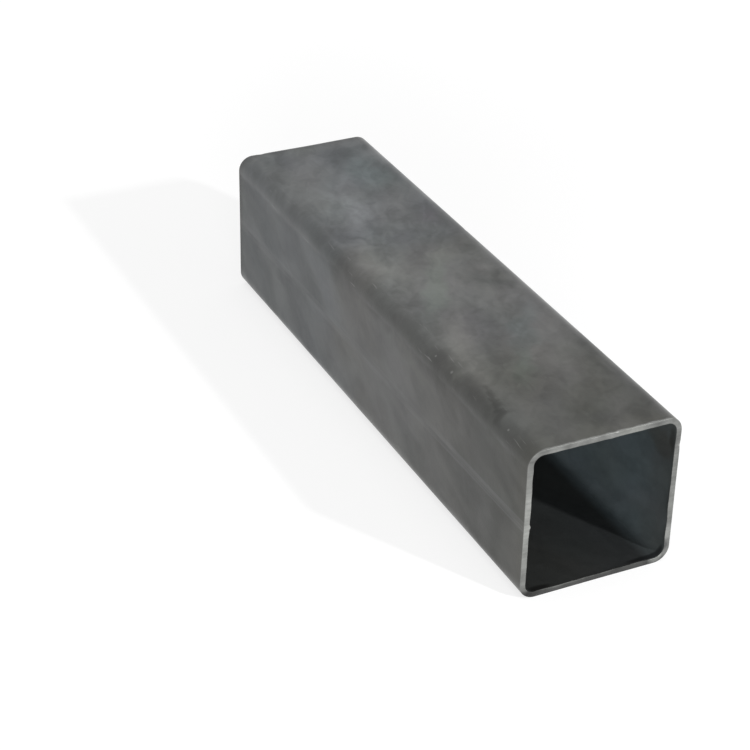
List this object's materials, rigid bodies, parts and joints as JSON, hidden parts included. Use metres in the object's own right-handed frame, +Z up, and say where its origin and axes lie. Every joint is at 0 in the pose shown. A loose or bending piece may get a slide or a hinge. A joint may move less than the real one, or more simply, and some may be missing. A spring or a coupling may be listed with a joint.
{
  "type": "square hollow section",
  "caption": "Short length of square steel tube with rolled corners, an open bore, sawn ends and the low weld ridge of its seam inside.",
  "frame": {"origin": "centre of the bottom face, midway along the tube", "axes": "+Y along the tube's length, +X across it, +Z up from the side that it lies on"},
  "size_m": [0.06, 0.25, 0.06],
  "materials": {
    "black_steel": "dull grey mill scale of black steel, bright where it is sawn"
  },
  "bodies": {
    "root": {"square_tube": "black_steel"}
  },
  "joints": []
}
